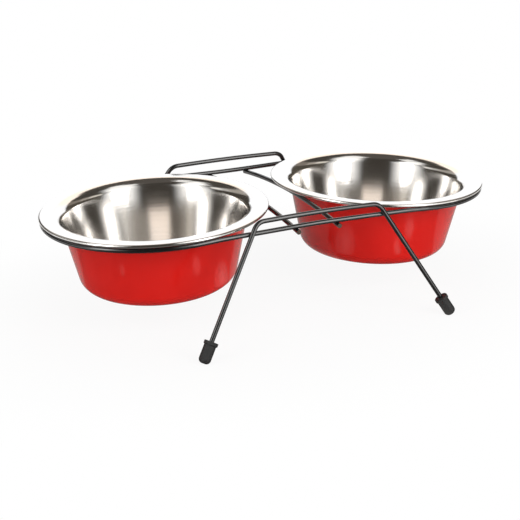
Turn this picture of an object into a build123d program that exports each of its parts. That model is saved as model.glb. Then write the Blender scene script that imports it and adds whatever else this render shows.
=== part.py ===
from build123d import *
import os
from math import acos, asin, atan2, cos, degrees, hypot, sin, sqrt, tan

# Double pet bowl: two pressed steel bowls hang by their rims in a bent-wire stand on rubber feet.
# Millimetres, +Z up, +X along the row of bowls, origin on the floor midway between the bowls.

# Bowls
bowl_spacing = 190.0  # between the axes of the two bowls
rim_height = 84.0  # top of the rims above the floor, where the loop starts to dip
rim_diameter = 170.0
bowl_depth = 58.6  # top of the rim to the underside of the base
wall_top_diameter = 141.4  # outside of the tapered wall, carried up to the top of the rim
base_diameter = 115.2  # outside of the tapered wall, carried down to the underside of the base
sheet = 0.8
base_bend = 11.4  # outside radius between wall and base
shoulder_bend = 8.2  # underside radius between wall and rim
bead_diameter = 2.5  # rolled edge of the rim

# Wire stand
wire = 3.5
weld_sink = 0.3  # two wires sink this far into each other where they are welded
loop_inset = 1.0  # the loop's ends run this far inside the middle of the bead
loop_waist = 5.0  # each long side of the loop is drawn in this far midway
loop_waist_bend = 350.0  # bend of a long side midway, at the wire's middle
loop_dip = 1.9  # degrees by which each end of the loop dips outwards, with its bowl
dip_start = 74.0  # from the middle of the stand to where the long sides start to dip
dip_bend = 200.0  # bend of a long side there, at the wire's middle
bar_rise = 5.3  # middle of a bow's bar above the top of the rims
bar_crown = 1.3  # the bar's middle stands this far above its corners
bar_span = 98.0  # between the corners where a bow's bar and legs would meet
bar_straight = 4.5  # straight stretch of a bar between its crown and a corner bend
bow_bend = 9.0  # bend of a bow's corners, at the wire's middle
cross_spacing = 33.0  # between the two cross wires
cross_arch = 5.2  # rise of a cross wire's middle above its welds
cross_overhang = 3.5  # a cross wire's ends past the loop's middle line

# Rubber feet
foot_track_x = 204.0  # between the points where the legs' middle lines meet the floor
foot_track_y = 210.0
foot_diameter = 8.7
foot_lip_diameter = 10.2
foot_lip_height = 2.6
foot_length = 16.0
foot_round = 3.2  # rounding of the foot's lower edge
foot_pad_cut = 0.6  # rubber worn flat where the foot stands
foot_bore_depth = 11.5
lip_round = 0.4

# Clearance between what lifts out and what carries it
seat_gap = 0.3

# Seat of the bowls: the bead rests on the loop where its long sides pass under the rim,
# and reaches over it round the ends
bead_radius = bead_diameter / 2
bead_centre = rim_diameter / 2 - bead_radius
loop_end_radius = bead_centre - loop_inset
loop_height = rim_height - bead_diameter - seat_gap - wire / 2

# The loop's long sides run straight from its round ends to a slight bend midway
half_spacing = bowl_spacing / 2
loop_half_width = loop_end_radius - loop_waist
waist_to_axis = hypot(half_spacing, loop_half_width)
side_length = sqrt(waist_to_axis**2 - loop_end_radius**2)
side_angle = asin(loop_end_radius / waist_to_axis) - atan2(loop_half_width, half_spacing)
weld_distance = wire - weld_sink


def loop_side_at(x):
    return loop_half_width + abs(x) * tan(side_angle)


def dipped(level, side):
    return level.rotate(Axis((side * dip_start, 0, loop_height), (0, 1, 0)), side * loop_dip)


def round_wire(path):
    return sweep(Plane(path @ 0, z_dir=path % 0) * Circle(wire / 2), path=path)


def bowl_section():
    wall_slope = (wall_top_diameter - base_diameter) / 2 / bowl_depth
    wall_shift = sheet * sqrt(1 + wall_slope**2)
    base_radius = base_diameter / 2
    under = rim_height - sheet
    base = rim_height - bowl_depth
    floor = base + sheet
    outside = FilletPolyline(
        (0, base),
        (base_radius, base),
        (base_radius + wall_slope * (bowl_depth - sheet), under),
        (bead_centre, under),
        radius=[base_bend, shoulder_bend],
    )
    inside = FilletPolyline(
        (bead_centre, rim_height),
        (base_radius + wall_slope * bowl_depth - wall_shift, rim_height),
        (base_radius + wall_slope * sheet - wall_shift, floor),
        (0, floor),
        radius=[shoulder_bend + sheet, base_bend - sheet],
    )
    rim_edge = Line(outside @ 1, inside @ 0)
    axis = Line(inside @ 1, outside @ 0)
    bead = Pos(bead_centre, rim_height - bead_radius) * Circle(bead_radius)
    return make_face([*outside.edges(), rim_edge, *inside.edges(), axis]) + bead


def bowl(side):
    level = Pos(side * half_spacing, 0, 0) * revolve(Plane.XZ * bowl_section(), Axis.Z)
    return dipped(level, side)


def support_loop():
    end_x = side_length * cos(side_angle)
    end_y = loop_side_at(end_x)
    tip = half_spacing + loop_end_radius
    level_end = ThreePointArc(
        (end_x, -end_y, loop_height), (tip, 0, loop_height), (end_x, end_y, loop_height)
    )
    right_end = dipped(level_end, 1)
    left_end = mirror(right_end, about=Plane.YZ)
    knee_y = -loop_side_at(dip_start)
    front = FilletPolyline(
        left_end @ 0,
        (-dip_start, knee_y, loop_height),
        (0, -loop_half_width, loop_height),
        (dip_start, knee_y, loop_height),
        right_end @ 0,
        radius=[dip_bend, loop_waist_bend, dip_bend],
    )
    rear = mirror(front, about=Plane.XZ)
    around = [edge for run in (front, right_end, rear, left_end) for edge in run.edges()]
    return round_wire(Wire(around))


# Each bow leans inwards, so that its legs touch the loop from outside
foot_x = foot_track_x / 2
foot_y = foot_track_y / 2
corner_x = bar_span / 2
bar_height = rim_height + bar_rise
corner_height = bar_height - bar_crown
weld_x = corner_x + (foot_x - corner_x) * (corner_height - loop_height) / corner_height
weld_reach = foot_y - loop_side_at(weld_x)
bow_lean = acos(weld_distance / hypot(weld_reach, loop_height)) - atan2(loop_height, weld_reach)
bow_plane = Plane((0, -foot_y, 0), x_dir=(1, 0, 0), z_dir=(0, -cos(bow_lean), sin(bow_lean)))

# A leg's middle line, from the floor up, seen in the bow's plane
corner_rise = corner_height / cos(bow_lean)
leg_line = Vector(corner_x - foot_x, corner_rise).normalized()
leg_tilt = acos(leg_line.Y * cos(bow_lean))
foot_end_height = foot_round * (1 - cos(leg_tilt)) + (foot_diameter / 2 - foot_round) * sin(leg_tilt)
foot_end = (foot_end_height - foot_pad_cut) / cos(leg_tilt)


def on_leg(distance):
    return (foot_x + leg_line.X * distance, leg_line.Y * distance)


def leg_bow(loop):
    bar_slope = atan2(bar_crown / cos(bow_lean), corner_x)
    corner_turn = atan2(leg_line.Y, -leg_line.X) - bar_slope
    bar_half = hypot(corner_x, bar_crown / cos(bow_lean))
    crown_reach = bar_half - bow_bend * tan(corner_turn / 2) - bar_straight
    leg_end = on_leg(foot_end + foot_length - foot_bore_depth)
    path = FilletPolyline(
        (-leg_end[0], leg_end[1]),
        (-corner_x, corner_rise),
        (0, bar_height / cos(bow_lean)),
        (corner_x, corner_rise),
        leg_end,
        radius=[bow_bend, crown_reach / tan(bar_slope), bow_bend],
    )
    return round_wire(bow_plane * path) - loop


def cross_wire(side, loop):
    x = side * cross_spacing / 2
    weld_y = loop_side_at(x)
    weld_z = loop_height - weld_distance
    arch_radius = (weld_y**2 + cross_arch**2) / (2 * cross_arch)
    end_y = weld_y + cross_overhang
    top_z = weld_z + cross_arch
    end_z = top_z - arch_radius + sqrt(arch_radius**2 - end_y**2)
    return round_wire(ThreePointArc((x, -end_y, end_z), (x, 0, top_z), (x, end_y, end_z))) - loop


def foot(side):
    half = foot_diameter / 2
    lip = foot_lip_diameter / 2
    outline = FilletPolyline(
        (0, 0),
        (half, 0),
        (half, foot_length - foot_lip_height),
        (lip, foot_length - foot_lip_height),
        (lip, foot_length),
        (0, foot_length),
        radius=[foot_round, lip_round, lip_round, lip_round],
    )
    axis = Line(outline @ 1, outline @ 0)
    cap = revolve(Plane.XZ * make_face([*outline.edges(), axis]), Axis.Z)
    bore = Pos(0, 0, foot_length - foot_bore_depth) * Cylinder(
        wire / 2, foot_bore_depth, align=(Align.CENTER, Align.CENTER, Align.MIN)
    )
    start = bow_plane.from_local_coords(on_leg(foot_end))
    beyond = bow_plane.from_local_coords(on_leg(foot_end + foot_length))
    placed = Plane(start, z_dir=beyond - start) * (cap - bore)
    right = split(placed, bisect_by=Plane.XY, keep=Keep.TOP)
    return right if side > 0 else mirror(right, about=Plane.YZ)


def at_rear(piece):
    return mirror(piece, about=Plane.XZ)


loop = support_loop()
front_bow = leg_bow(loop)
front_left_foot = foot(-1)
front_right_foot = foot(1)

nodes = {
    "bowl_left": bowl(-1),
    "bowl_right": bowl(1),
    "support_loop": loop,
    "cross_wire_left": cross_wire(-1, loop),
    "cross_wire_right": cross_wire(1, loop),
    "front_leg_bow": front_bow,
    "rear_leg_bow": at_rear(front_bow),
    "foot_front_left": front_left_foot,
    "foot_front_right": front_right_foot,
    "foot_rear_left": at_rear(front_left_foot),
    "foot_rear_right": at_rear(front_right_foot),
}

os.makedirs("parts", exist_ok=True)
for name, shape in nodes.items():
    export_step(shape, f"parts/{name}.step")

print(f"loop height {loop_height:.2f}, half width {loop_half_width:.2f}, bow lean {degrees(bow_lean):.2f}")
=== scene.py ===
import bpy
import bmesh
from math import atan2, cos, degrees, hypot, pi, radians, sin, tan
from mathutils import Matrix, Vector


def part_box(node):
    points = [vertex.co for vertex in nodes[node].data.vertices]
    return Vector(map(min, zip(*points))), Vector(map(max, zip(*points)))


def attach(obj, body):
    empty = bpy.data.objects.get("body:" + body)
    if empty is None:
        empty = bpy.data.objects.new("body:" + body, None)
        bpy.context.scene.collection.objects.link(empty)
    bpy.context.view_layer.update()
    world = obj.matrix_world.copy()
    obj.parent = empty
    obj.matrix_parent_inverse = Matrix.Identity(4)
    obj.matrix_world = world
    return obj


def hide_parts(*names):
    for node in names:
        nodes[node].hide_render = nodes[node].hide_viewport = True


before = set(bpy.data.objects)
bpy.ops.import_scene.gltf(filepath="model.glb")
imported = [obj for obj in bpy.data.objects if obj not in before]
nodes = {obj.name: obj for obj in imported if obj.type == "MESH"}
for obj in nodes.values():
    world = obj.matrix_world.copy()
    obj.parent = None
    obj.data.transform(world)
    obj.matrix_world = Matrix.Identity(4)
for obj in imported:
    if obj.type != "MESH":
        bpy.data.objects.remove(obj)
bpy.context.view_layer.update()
print("frame loaded with", len(nodes), "nodes")

# Node helpers

def addNode(tree, kind, settings=None, **sockets):
    node = tree.nodes.new(kind)
    for key, value in (settings or {}).items():
        setattr(node, key, value)
    for key, value in sockets.items():
        setSocket(tree, node.inputs[key.replace("_", " ")], value)
    return node


def setSocket(tree, socket, value):
    if isinstance(value, bpy.types.NodeSocket):
        tree.links.new(value, socket)
    else:
        socket.default_value = value


def math(tree, operation, *values):
    node = tree.nodes.new("ShaderNodeMath")
    node.operation = operation
    for socket, value in zip(node.inputs, values):
        setSocket(tree, socket, value)
    return node.outputs[0]


def mixColour(tree, share, first, second):
    node = tree.nodes.new("ShaderNodeMix")
    node.data_type = "RGBA"
    setSocket(tree, node.inputs[0], share)
    setSocket(tree, node.inputs[6], first)
    setSocket(tree, node.inputs[7], second)
    return node.outputs[2]


def mapRange(tree, value, low, high, toLow, toHigh, smooth=True):
    node = tree.nodes.new("ShaderNodeMapRange")
    node.interpolation_type = "SMOOTHSTEP" if smooth else "LINEAR"
    for socket, number in zip(node.inputs, (value, low, high, toLow, toHigh)):
        setSocket(tree, socket, number)
    return node.outputs[0]


def newGroup(name, inputs, outputs):
    group = bpy.data.node_groups.new(name, "ShaderNodeTree")
    for label, kind, default in inputs:
        socket = group.interface.new_socket(label, in_out="INPUT", socket_type=kind)
        if default is not None:
            socket.default_value = default
    for label, kind in outputs:
        group.interface.new_socket(label, in_out="OUTPUT", socket_type=kind)
    return group, group.nodes.new("NodeGroupInput").outputs, group.nodes.new("NodeGroupOutput").inputs


def useGroup(tree, group, **sockets):
    return addNode(tree, "ShaderNodeGroup", {"node_tree": group}, **sockets).outputs


def emptyMaterial(name):
    material = bpy.data.materials.new(name)
    material.use_nodes = True
    material.node_tree.nodes.clear()
    return material, material.node_tree


def showShader(tree, shader):
    end = tree.nodes.new("ShaderNodeOutputMaterial")
    tree.links.new(shader.outputs[0], end.inputs[0])


def newFinish(name, **sockets):
    material, tree = emptyMaterial(name)
    shader = addNode(tree, "ShaderNodeBsdfPrincipled", **sockets)
    showShader(tree, shader)
    return material, tree, shader


def objectPlace(tree):
    return tree.nodes.new("ShaderNodeTexCoord").outputs["Object"]


# Bowls: sizes in metres, radii measured from each bowl's own axis
bowlShape = {
    "rimTop": 0.084,
    "depth": 0.0586,
    "wallTop": 0.0707,  # outside of the wall carried up to the top of the rim
    "base": 0.0576,  # outside of the wall carried down to the base
    "sheet": 0.0008,
    "baseBend": 0.0114,
    "shoulderBend": 0.0082,
    "bead": 0.00125,
    "bendSteps": 14,
    "beadSteps": 22,
    "wallCuts": 14,
    "longEdge": 0.0032,  # straight stretches longer than this are cut up
    "around": 224,
    "mergeDistance": 1e-6,
    "curlPast": 21,  # degrees that the rolled edge turns past three quarters of a circle
    "lacquerEnd": 0.0785,  # the lacquer stops here, under the rim
    "lacquerLean": 0.1,  # it covers what leans outwards more than this,
    "lacquerUnder": -0.3,  # and what faces down more than this
    "fromMiddle": 0.095,
    "dip": 1.9,  # degrees outwards, about a line across the stand
    "dipStart": 0.074,
    "dipHeight": 0.07945,
}


def drawLine(bm, points):
    verts = [bm.verts.new(p) for p in points]
    for first, second in zip(verts, verts[1:]):
        bm.edges.new((first, second))
    return verts


def roundCorner(bm, vert, radius, steps):
    before, after = [edge.other_vert(vert).co - vert.co for edge in vert.link_edges]
    reach = radius / tan(before.angle(after) / 2)
    bmesh.ops.bevel(
        bm, geom=[vert], offset=reach, affect="VERTICES", segments=steps, profile=0.5, material=-1
    )


def bowlSection(bm, rimRadius, shape):
    sheet, bead, rim = shape["sheet"], shape["bead"], shape["rimTop"]
    base = rim - shape["depth"]
    slope = (shape["wallTop"] - shape["base"]) / shape["depth"]
    wallShift = sheet * hypot(1, slope)
    beadCentre = Vector((rimRadius - bead, 0, rim - bead))
    inner = drawLine(bm, [
        (0, 0, base + sheet),
        (shape["base"] + slope * sheet - wallShift, 0, base + sheet),
        (shape["wallTop"] - wallShift, 0, rim),
        (beadCentre.x, 0, rim),
    ])
    curl = bmesh.ops.spin(
        bm, geom=[inner[3]], cent=beadCentre, axis=(0, 1, 0),
        angle=pi + pi / 2 + radians(shape["curlPast"]), steps=shape["beadSteps"],
    )
    curlEnd = [v for v in curl["geom_last"] if isinstance(v, bmesh.types.BMVert)][0]
    outer = drawLine(bm, [
        (curlEnd.co.x, 0, rim - sheet),
        (shape["wallTop"] - slope * sheet, 0, rim - sheet),
        (shape["base"], 0, base),
        (0, 0, base),
    ])
    bmesh.ops.pointmerge(bm, verts=[curlEnd, outer[0]], merge_co=outer[0].co)
    for vert, radius in (
        (inner[1], shape["baseBend"] - sheet),
        (inner[2], shape["shoulderBend"] + sheet),
        (outer[1], shape["shoulderBend"]),
        (outer[2], shape["baseBend"]),
    ):
        roundCorner(bm, vert, radius, shape["bendSteps"])


def dippedPlace(side, shape):
    knee = Vector((side * shape["dipStart"], 0, shape["dipHeight"]))
    turn = Matrix.Rotation(radians(side * shape["dip"]), 4, "Y")
    out = Matrix.Translation((side * shape["fromMiddle"], 0, 0))
    return Matrix.Translation(knee) @ turn @ Matrix.Translation(-knee) @ out


def makeBowl(name, node, side, shape):
    low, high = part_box(node)
    bm = bmesh.new()
    bowlSection(bm, (high.y - low.y) / 2, shape)
    longEdges = [e for e in bm.edges if e.calc_length() > shape["longEdge"]]
    bmesh.ops.subdivide_edges(bm, edges=longEdges, cuts=shape["wallCuts"])
    bmesh.ops.spin(
        bm, geom=bm.verts[:] + bm.edges[:], cent=(0, 0, 0), axis=(0, 0, 1), angle=2 * pi,
        steps=shape["around"], use_merge=True,
    )
    bmesh.ops.remove_doubles(bm, verts=bm.verts, dist=shape["mergeDistance"])
    bmesh.ops.recalc_face_normals(bm, faces=bm.faces)
    for face in bm.faces:
        outwards = face.calc_center_median() * Vector((1, 1, 0))
        radius = outwards.length
        leansOut = face.normal.dot(outwards) > shape["lacquerLean"] * radius
        outside = leansOut or face.normal.z < shape["lacquerUnder"]
        face.material_index = 1 if outside and radius < shape["lacquerEnd"] else 0  # steel 0, lacquer 1
        face.smooth = True
    ownPlace = bm.verts.layers.float_vector.new("ownPlace")  # upright, from the bowl's axis
    for vert in bm.verts:
        vert[ownPlace] = vert.co
    bmesh.ops.transform(bm, matrix=dippedPlace(side, shape), verts=bm.verts)
    mesh = bpy.data.meshes.new(name)
    bm.to_mesh(mesh)
    bm.free()
    piece = bpy.data.objects.new(name, mesh)
    bpy.context.scene.collection.objects.link(piece)
    return piece


# Finishes: turning lines in the steel, fine peel in coats and rubber
spunPattern = {
    "fineScale": 5200.0,
    "fineDetail": 2.0,
    "fineShare": 0.35,
    "broadScale": 420.0,
    "broadDetail": 3.0,
    "broadShare": 0.65,
    "cloudScale": 28.0,
    "cloudDetail": 4.0,
}
peelPattern = {"detail": 2.0, "cloudScale": 40.0, "cloudDetail": 4.0}
cloudRange = (0.3, 0.7)  # where the cloudy noise goes from the first roughness to the second


def spunLinesGroup(pattern):
    group, given, out = newGroup(
        "spunLines",
        [("Vector", "NodeSocketVector", None)],
        [("Height", "NodeSocketFloat"), ("Lines", "NodeSocketFloat"), ("Cloud", "NodeSocketFloat")],
    )

    def linesAlong(way, size):
        return addNode(
            group, "ShaderNodeTexNoise", {"noise_dimensions": "1D"},
            W=way, Scale=pattern[size + "Scale"], Detail=pattern[size + "Detail"],
        ).outputs[0]

    parts = addNode(group, "ShaderNodeSeparateXYZ", Vector=given["Vector"]).outputs
    squares = [math(group, "MULTIPLY", parts[k], parts[k]) for k in ("X", "Y")]
    radius = math(group, "SQRT", math(group, "ADD", *squares))
    along = math(group, "ADD", radius, parts["Z"])
    fine, broad = linesAlong(along, "fine"), linesAlong(along, "broad")
    cloud = addNode(
        group, "ShaderNodeTexNoise",
        Vector=given["Vector"], Scale=pattern["cloudScale"], Detail=pattern["cloudDetail"],
    )
    shares = [
        math(group, "MULTIPLY", lines, pattern[size + "Share"])
        for lines, size in ((fine, "fine"), (broad, "broad"))
    ]
    setSocket(group, out["Height"], math(group, "ADD", *shares))
    setSocket(group, out["Lines"], broad)
    setSocket(group, out["Cloud"], cloud.outputs[0])
    return group


def finePeelGroup(pattern):
    group, given, out = newGroup(
        "finePeel",
        [("Vector", "NodeSocketVector", None), ("Scale", "NodeSocketFloat", None)],
        [("Height", "NodeSocketFloat"), ("Cloud", "NodeSocketFloat")],
    )
    peel = addNode(
        group, "ShaderNodeTexNoise", Vector=given["Vector"], Scale=given["Scale"], Detail=pattern["detail"]
    )
    cloud = addNode(
        group, "ShaderNodeTexNoise",
        Vector=given["Vector"], Scale=pattern["cloudScale"], Detail=pattern["cloudDetail"],
    )
    setSocket(group, out["Height"], peel.outputs[0])
    setSocket(group, out["Cloud"], cloud.outputs[0])
    return group


spunLines = spunLinesGroup(spunPattern)
finePeel = finePeelGroup(peelPattern)


def setRoughness(tree, shader, finish, cloud):
    setSocket(tree, shader.inputs["Roughness"], mapRange(tree, cloud, *cloudRange, *finish["roughness"]))


def setBump(tree, shader, finish, height):
    bump = addNode(
        tree, "ShaderNodeBump", Strength=finish["bump"], Distance=finish["bumpDepth"], Height=height
    )
    setSocket(tree, shader.inputs["Normal"], bump.outputs[0])


steelFinish = {
    "dark": (0.82, 0.795, 0.765, 1),
    "light": (0.89, 0.87, 0.85, 1),
    "roughness": (0.12, 0.15),
    "stretch": 0.3,  # reflections stretch across the turning lines
    "stretchTurn": 0.25,
    "bump": 0.08,
    "bumpDepth": 0.0002,
}


def steelMaterial(finish):
    material, tree, shader = newFinish(
        "spunSteel", Metallic=1.0, Anisotropic=finish["stretch"], Anisotropic_Rotation=finish["stretchTurn"]
    )
    own = addNode(tree, "ShaderNodeAttribute", {"attribute_name": "ownPlace"}).outputs["Vector"]
    lines = useGroup(tree, spunLines, Vector=own)
    colour = mixColour(tree, lines["Lines"], finish["dark"], finish["light"])
    setSocket(tree, shader.inputs["Base Color"], colour)
    setRoughness(tree, shader, finish, lines["Cloud"])
    setBump(tree, shader, finish, lines["Height"])
    tangent = addNode(tree, "ShaderNodeTangent", {"direction_type": "RADIAL", "axis": "Z"})
    setSocket(tree, shader.inputs["Tangent"], tangent.outputs[0])
    return material


# Colour of a coat or of rubber, with its peel set on the shader
def peeledColour(tree, shader, finish):
    peel = useGroup(tree, finePeel, Vector=objectPlace(tree), Scale=finish["peelScale"])
    setRoughness(tree, shader, finish, peel["Cloud"])
    setBump(tree, shader, finish, peel["Height"])
    return mixColour(tree, peel["Cloud"], finish["dark"], finish["light"])


lacquerFinish = {
    "dark": (0.58, 0.0085, 0.0055, 1),
    "light": (0.66, 0.011, 0.0075, 1),
    "roughness": (0.10, 0.16),
    "peelScale": 420.0,
    "bump": 0.05,
    "bumpDepth": 0.0002,
}


def lacquerMaterial(finish):
    material, tree, shader = newFinish("redLacquer")
    setSocket(tree, shader.inputs["Base Color"], peeledColour(tree, shader, finish))
    return material


wireFinish = {
    "dark": (0.003, 0.003, 0.0035, 1),
    "light": (0.007, 0.007, 0.0075, 1),
    "ior": 1.8,
    "roughness": (0.12, 0.18),
    "peelScale": 1400.0,
    "bump": 0.1,
    "bumpDepth": 0.0001,
    "bare": (0.075, 0.055, 0.042, 1),  # cut ends, where the coat is thin over the steel
    "bareFrom": 0.0817,  # metres from the middle line
    "bareBlend": 0.0002,
}


def wireMaterial(name, finish, cutEnds):
    material, tree, shader = newFinish(name, IOR=finish["ior"])
    colour = peeledColour(tree, shader, finish)
    if cutEnds:
        sideways = addNode(tree, "ShaderNodeSeparateXYZ", Vector=objectPlace(tree)).outputs["Y"]
        start = finish["bareFrom"]
        bare = mapRange(tree, math(tree, "ABSOLUTE", sideways), start, start + finish["bareBlend"], 0, 1)
        colour = mixColour(tree, bare, colour, finish["bare"])
    setSocket(tree, shader.inputs["Base Color"], colour)
    return material


rubberFinish = {
    "dark": (0.012, 0.012, 0.012, 1),
    "light": (0.028, 0.028, 0.028, 1),
    "specular": 0.35,
    "roughness": (0.55, 0.75),
    "peelScale": 2600.0,
    "bump": 0.3,
    "bumpDepth": 0.0001,
}


def rubberMaterial(finish):
    material, tree, shader = newFinish("footRubber", Specular_IOR_Level=finish["specular"])
    setSocket(tree, shader.inputs["Base Color"], peeledColour(tree, shader, finish))
    return material


steel = steelMaterial(steelFinish)
lacquer = lacquerMaterial(lacquerFinish)
blackCoat = wireMaterial("satinBlackCoat", wireFinish, cutEnds=False)
crossCoat = wireMaterial("satinBlackCutEnds", wireFinish, cutEnds=True)
rubber = rubberMaterial(rubberFinish)
print("finishes made")

for side, sign in (("left", -1), ("right", 1)):
    bowl = makeBowl(f"{side}_bowl_shell", f"bowl_{side}", sign, bowlShape)
    bowl.data.materials.append(steel)
    bowl.data.materials.append(lacquer)
    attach(bowl, f"{side}_bowl")
    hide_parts(f"bowl_{side}")
print("bowls made")

for name, node in nodes.items():
    if name.startswith("foot"):
        node.data.materials[0] = rubber
    elif name.startswith("cross"):
        node.data.materials[0] = crossCoat
    elif not name.startswith("bowl"):
        node.data.materials[0] = blackCoat
print("stand finished")

# Camera
cameraView = {
    "azimuth": -25.2539,
    "elevation": 19.9425,
    "roll": -0.3755,
    "distance": 0.89321,
    "lookAt": (0, 0, 0.084),
    "shiftRight": -0.00747,  # of the point looked at, in the picture's plane
    "shiftUp": -0.05484,
    "focal": 1154.33,  # in pixels of the 520 pixel frame
    "frame": 520,
    "sensor": 36,  # millimetres
    "clipStart": 0.01,
}


def makeCamera(view):
    a, e, r = (radians(view[k]) for k in ("azimuth", "elevation", "roll"))
    back = Vector((sin(a) * cos(e), -cos(a) * cos(e), sin(e)))
    right = (-back).cross(Vector((0, 0, 1))).normalized()
    up = right.cross(-back)
    right, up = cos(r) * right + sin(r) * up, cos(r) * up - sin(r) * right
    aim = Vector(view["lookAt"]) + right * view["shiftRight"] + up * view["shiftUp"]
    place = aim + back * view["distance"]
    data = bpy.data.cameras.new("photoCamera")
    data.sensor_width = view["sensor"]
    data.lens = view["focal"] / view["frame"] * data.sensor_width
    data.clip_start = view["clipStart"]
    camera = bpy.data.objects.new("photoCamera", data)
    camera.matrix_world = Matrix.Translation(place) @ Matrix((right, up, back)).transposed().to_4x4()
    bpy.context.scene.collection.objects.link(camera)
    bpy.context.scene.camera = camera


makeCamera(cameraView)
print("camera placed")

# Studio
studio = {
    "floorSize": 8.0,
    "floorShade": (0.74, 0.74, 0.74),
    "floorSquash": (0.72, 1, 1),  # the object is wider than deep
    "shadowReach": (0.11, 0.24),  # the floor turns plain white between these distances
    "shadowShare": 0.08,
    "fill": 0.26,  # soft light from all round, on surfaces that scatter it
    "lookUp": 0.05,  # the lamps point at this height
    "cardReach": 1.5,
    "cardSteps": 24,
    "flatSteps": 96,
    "fadeEnd": 0.04,  # share of its light at a softbox's edge
}
softboxWarmth = (1, 0.99, 0.97)
lamps = {
    "rightSoftbox": {
        "bearing": 23, "elevation": 26, "distance": 1.2,
        "size": (0.7, 0.9), "radiance": 6.0, "colour": softboxWarmth,
    },
    "leftSoftbox": {
        "bearing": -75, "elevation": 26, "distance": 1.2,
        "size": (0.7, 0.9), "radiance": 3.7, "colour": softboxWarmth,
    },
    "overheadSoftbox": {
        "bearing": 155, "elevation": 76, "distance": 1.4,
        "size": (1.2, 1.2), "radiance": 0.8, "colour": (1, 1, 1),
    },
}

# What the steel and the wires mirror: upright cards in a ring, by bearing and height
boxShade = (1.4, 1.39, 1.36)
boxHighShade = (1.2, 1.19, 1.17)
boxTopShade = (1.1, 1.09, 1.07)
coreShade = (4.4, 4.36, 4.28)
frontShade = (0.05, 0.044, 0.037)
rightShade = (0.06, 0.054, 0.046)
leftShade = (0.06, 0.053, 0.044)
lowRow, middleRow, upperRow, highRow = (0, 1.45), (0.72, 1.12), (1.45, 2.07), (2.07, 3.3)  # metres up
cards = {
    "softboxLeft": {"bearings": (-105, -48), "heights": lowRow, "soft": (20, 18), "shade": boxShade},
    "softboxLeftMid": {"bearings": (-120, -62), "heights": upperRow, "soft": (14, 14), "shade": boxShade},
    "softboxLeftHigh": {
        "bearings": (-138, -78), "heights": (2.07, 3.0), "soft": (14, 14), "shade": boxHighShade,
    },
    "softboxRight": {"bearings": (-8, 50), "heights": lowRow, "soft": (17, 16), "shade": boxShade},
    "softboxRightMid": {"bearings": (-6, 62), "heights": upperRow, "soft": (14, 18), "shade": boxShade},
    "softboxRightHigh": {"bearings": (0, 75), "heights": highRow, "soft": (12, 18), "shade": boxHighShade},
    "coreLeft": {
        "bearings": (-88, -64), "heights": (0.1, 1.4), "reach": 1.45, "soft": (5, 5), "shade": coreShade,
    },
    "coreRight": {
        "bearings": (8, 36), "heights": (0.1, 1.3), "reach": 1.45, "soft": (6, 6), "shade": coreShade,
    },
    "frontLow": {"bearings": (-48, -8), "heights": lowRow, "shade": frontShade},
    "frontMid": {"bearings": (-62, -6), "heights": upperRow, "shade": frontShade},
    "frontHigh": {"bearings": (-78, 0), "heights": highRow, "shade": frontShade},
    "rightLow": {"bearings": (50, 123), "heights": (0, 0.72), "shade": (0.085, 0.075, 0.06)},
    "rightPale": {"bearings": (50, 72), "heights": middleRow, "shade": (0.8, 0.75, 0.67)},
    "rightGrey": {"bearings": (72, 90), "heights": middleRow, "shade": (0.42, 0.38, 0.33)},
    "rightDim": {"bearings": (90, 123), "heights": middleRow, "shade": (0.24, 0.21, 0.18)},
    "rightMid": {"bearings": (50, 123), "heights": (1.12, 1.45), "shade": rightShade},
    "rightUpper": {"bearings": (62, 123), "heights": upperRow, "shade": rightShade},
    "rightHigh": {"bearings": (75, 123), "heights": highRow, "shade": rightShade},
    "rearLow": {"bearings": (123, 181), "heights": (0, 0.92), "shade": (1.17, 1.19, 1.22)},
    "rearMid": {"bearings": (123, 181), "heights": (0.92, 1.72), "shade": (1.36, 1.2, 1.06)},
    "rearHigh": {"bearings": (123, 181), "heights": (1.72, 3.3), "shade": (0.08, 0.07, 0.06)},
    "leftLow": {"bearings": (-179, -105), "heights": (0, 0.72), "shade": leftShade},
    "leftGrey": {"bearings": (-179, -138), "heights": middleRow, "shade": (0.42, 0.39, 0.35)},
    "leftDim": {"bearings": (-138, -122), "heights": middleRow, "shade": (0.55, 0.53, 0.49)},
    "leftPale": {"bearings": (-122, -105), "heights": middleRow, "shade": (1.0, 0.97, 0.92)},
    "leftMid": {"bearings": (-179, -105), "heights": (1.12, 1.45), "shade": leftShade},
    "leftUpper": {"bearings": (-179, -120), "heights": upperRow, "shade": leftShade},
    "leftHigh": {"bearings": (-179, -138), "heights": highRow, "shade": leftShade},
    "leftTop": {"bearings": (-138, -78), "heights": (3.0, 3.3), "shade": frontShade},
}
ceiling = {"height": 3.3, "reach": 1.5, "shade": (0.09, 0.08, 0.07)}

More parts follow.
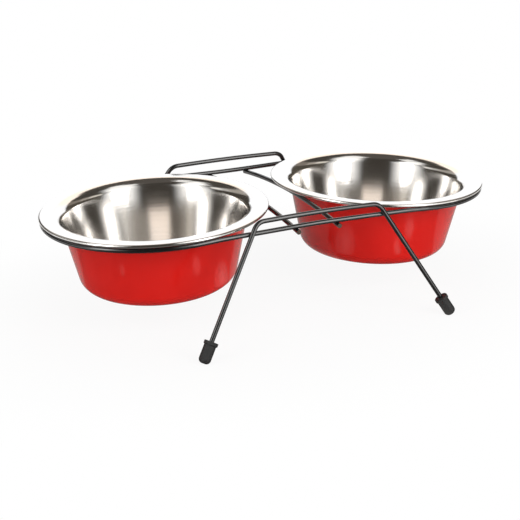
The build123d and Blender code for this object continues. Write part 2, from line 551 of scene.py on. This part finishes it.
# Flat wedges: tops of the softboxes under the ceiling, then shade and light on the table; the pools are
# painted shadow of the bowls and the stand, seen only in reflections
# Painted shadow on the table under and behind the bowls, seen only in reflections
paintedShadowShade = (0.16, 0.15, 0.14)
paintedRearShadowShade = (0.42, 0.4, 0.38)
wedges = {
    "overheadRight": {
        "centre": (0, 0), "reach": (0.9, 1.5), "bearings": (8, 80), "height": 3.28, "shade": boxTopShade,
    },
    "overheadLeft": {
        "centre": (0, 0), "reach": (1.0, 1.5), "bearings": (-140, -86), "height": 3.28, "shade": boxTopShade,
    },
    "darkTable": {
        "centre": (0, 0), "reach": (0.02, 1.9), "bearings": (-75, 4), "height": 0.0004,
        "shade": (0.06, 0.055, 0.05),
    },
    "lightTable": {
        "centre": (0, 0), "reach": (0.25, 1.9), "bearings": (4, 62), "height": 0.0004,
        "shade": (1.5, 1.48, 1.45),
    },
    # The pools below: painted shadow under the stand and the bowls, seen only in reflections
    "paintedShadowMiddle": {
        "centre": (0, -0.03), "reach": (0.001, 0.2), "bearings": (-75, 70), "height": 0.0005,
        "shade": (0.1, 0.095, 0.09),
    },
    "paintedShadowLeft": {
        "centre": (-0.095, 0), "reach": (0.001, 0.17), "bearings": (-125, 78), "height": 0.0006,
        "shade": paintedShadowShade,
    },
    "paintedShadowRight": {
        "centre": (0.095, 0), "reach": (0.001, 0.17), "bearings": (-75, 52), "height": 0.0008,
        "shade": paintedShadowShade,
    },
    "paintedShadowRearLeft": {
        "centre": (-0.095, 0), "reach": (0.001, 0.3), "bearings": (78, 235), "height": 0.0003,
        "shade": paintedRearShadowShade,
    },
    "paintedShadowRearRight": {
        "centre": (0.095, 0), "reach": (0.001, 0.3), "bearings": (52, 285), "height": 0.0002,
        "shade": paintedRearShadowShade,
    },
}
# Round spots of light on the table, which the lacquer mirrors
spotHole = 0.0005
spots = {
    "spotLeft": {"centre": (-0.191, -0.063), "radius": 0.006, "height": 0.001, "shade": (0.6, 0.58, 0.55)},
    "spotRight": {"centre": (-0.006, -0.052), "radius": 0.01, "height": 0.001, "shade": (0.8, 0.77, 0.74)},
    "glowRight": {"centre": (-0.008, -0.05), "radius": 0.024, "height": 0.0009, "shade": (0.5, 0.48, 0.46)},
    "spotSide": {"centre": (0.118, -0.126), "radius": 0.012, "height": 0.001, "shade": (1.1, 1.06, 1.02)},
    "spotFront": {"centre": (0.091, -0.107), "radius": 0.01, "height": 0.001, "shade": (1.1, 1.05, 1.0)},
    "spotMiddle": {"centre": (-0.047, -0.112), "radius": 0.01, "height": 0.001, "shade": (0.7, 0.68, 0.65)},
}


def direction(bearing, elevation):
    b, e = radians(bearing), radians(elevation)
    return Vector((sin(b) * cos(e), -cos(b) * cos(e), sin(e)))


def makeLamp(name, lamp):
    data = bpy.data.lights.new(name, "AREA")
    data.shape = "RECTANGLE"
    data.size, data.size_y = lamp["size"]
    data.energy = lamp["radiance"] * pi * data.size * data.size_y
    data.color = lamp["colour"]
    light = bpy.data.objects.new(name, data)
    away = direction(lamp["bearing"], lamp["elevation"])
    light.location = Vector((0, 0, studio["lookUp"])) + away * lamp["distance"]
    light.rotation_mode = "QUATERNION"
    light.rotation_quaternion = away.to_track_quat("Z", "Y")
    light.visible_camera = False
    light.visible_glossy = False  # the cards are what shows in reflections
    bpy.context.scene.collection.objects.link(light)


for name, lamp in lamps.items():
    makeLamp(name, lamp)


def stageObject(name, bm, material):
    mesh = bpy.data.meshes.new(name)
    bm.to_mesh(mesh)
    bm.free()
    thing = bpy.data.objects.new(name, mesh)
    thing.data.materials.append(material)
    bpy.context.scene.collection.objects.link(thing)
    return thing


def cardMaterial(name, shade, fades=False):
    material, tree = emptyMaterial(name)
    glow = addNode(tree, "ShaderNodeEmission", Color=(*shade, 1), Strength=1.0)
    if fades:
        share = addNode(tree, "ShaderNodeAttribute", {"attribute_name": "share"}).outputs["Fac"]
        setSocket(tree, glow.inputs["Strength"], share)
    showShader(tree, glow)
    return material


# A softbox fades towards its upright edges, over the degrees given for each
def fadeEdges(bm, card):
    first, last = card["bearings"]
    share = bm.verts.layers.float.new("share")
    for vert in bm.verts:
        bearing = degrees(atan2(vert.co.x, -vert.co.y))
        inwards = min((bearing - first) / card["soft"][0], (last - bearing) / card["soft"][1])
        vert[share] = max(min(inwards, 1), studio["fadeEnd"])


def onlyInReflections(card):
    card.visible_camera = False
    card.visible_diffuse = False
    card.visible_transmission = False
    card.visible_volume_scatter = False
    card.visible_shadow = False


def makeUprightCard(name, card):
    bm = bmesh.new()
    first, last = card["bearings"]
    foot = direction(first, 0) * card.get("reach", studio["cardReach"])
    ends = drawLine(bm, [foot + Vector((0, 0, height)) for height in card["heights"]])
    bmesh.ops.spin(
        bm, geom=ends + bm.edges[:], cent=(0, 0, 0), axis=(0, 0, 1),
        angle=radians(last - first), steps=studio["cardSteps"],
    )
    if "soft" in card:
        fadeEdges(bm, card)
    onlyInReflections(stageObject(name, bm, cardMaterial(name, card["shade"], "soft" in card)))


def makeCeiling(card):
    bm = bmesh.new()
    bmesh.ops.create_circle(bm, cap_ends=True, segments=studio["flatSteps"], radius=card["reach"])
    bmesh.ops.translate(bm, vec=(0, 0, card["height"]), verts=bm.verts)
    onlyInReflections(stageObject("darkCeiling", bm, cardMaterial("darkCeiling", card["shade"])))


def makeWedge(name, card):
    bm = bmesh.new()
    centre = Vector((*card["centre"], card["height"]))
    first, last = card["bearings"]
    ends = drawLine(bm, [centre + direction(first, 0) * reach for reach in card["reach"]])
    bmesh.ops.spin(
        bm, geom=ends + bm.edges[:], cent=centre, axis=(0, 0, 1),
        angle=radians(last - first), steps=studio["flatSteps"], use_merge=last - first == 360,
    )
    onlyInReflections(stageObject(name, bm, cardMaterial(name, card["shade"])))


for name, card in cards.items():
    makeUprightCard(name, card)
makeCeiling(ceiling)
for name, wedge in wedges.items():
    makeWedge(name, wedge)
for name, spot in spots.items():
    makeWedge(name, {**spot, "reach": (spotHole, spot["radius"]), "bearings": (0, 360)})


# Camera, glossy and transmission rays see the plain white background
def seenBackground(tree):
    path = tree.nodes.new("ShaderNodeLightPath").outputs
    direct = math(tree, "MAXIMUM", path["Is Camera Ray"], path["Is Glossy Ray"])
    return math(tree, "MAXIMUM", direct, path["Is Transmission Ray"])


def makeWorld():
    world = bpy.data.worlds.new("studioRoom")
    world.use_nodes = True
    bpy.context.scene.world = world
    tree = world.node_tree
    tree.nodes.clear()
    level = mapRange(tree, seenBackground(tree), 0, 1, studio["fill"], 1.0, smooth=False)
    background = addNode(tree, "ShaderNodeBackground", Color=(1, 1, 1, 1), Strength=level)
    end = tree.nodes.new("ShaderNodeOutputWorld")
    tree.links.new(background.outputs[0], end.inputs[0])


makeWorld()


def makeFloor():
    bm = bmesh.new()
    bmesh.ops.create_grid(bm, x_segments=1, y_segments=1, size=studio["floorSize"] / 2)
    material, tree = emptyMaterial("paleFloor")
    lit = addNode(tree, "ShaderNodeBsdfDiffuse", Color=(*studio["floorShade"], 1))
    glow = addNode(tree, "ShaderNodeEmission", Color=(1, 1, 1, 1), Strength=1.0)
    squashed = addNode(tree, "ShaderNodeVectorMath", {"operation": "MULTIPLY"})
    setSocket(tree, squashed.inputs[0], objectPlace(tree))
    squashed.inputs[1].default_value = studio["floorSquash"]
    away = addNode(tree, "ShaderNodeVectorMath", {"operation": "LENGTH"})
    setSocket(tree, away.inputs[0], squashed.outputs[0])
    plain = mapRange(tree, away.outputs["Value"], *studio["shadowReach"], 1 - studio["shadowShare"], 1)
    both = tree.nodes.new("ShaderNodeMixShader")
    setSocket(tree, both.inputs[0], math(tree, "MULTIPLY", seenBackground(tree), plain))
    setSocket(tree, both.inputs[1], lit.outputs[0])
    setSocket(tree, both.inputs[2], glow.outputs[0])
    showShader(tree, both)
    stageObject("paleFloor", bm, material)


makeFloor()
bpy.context.scene.view_settings.view_transform = "Standard"
print("studio made")
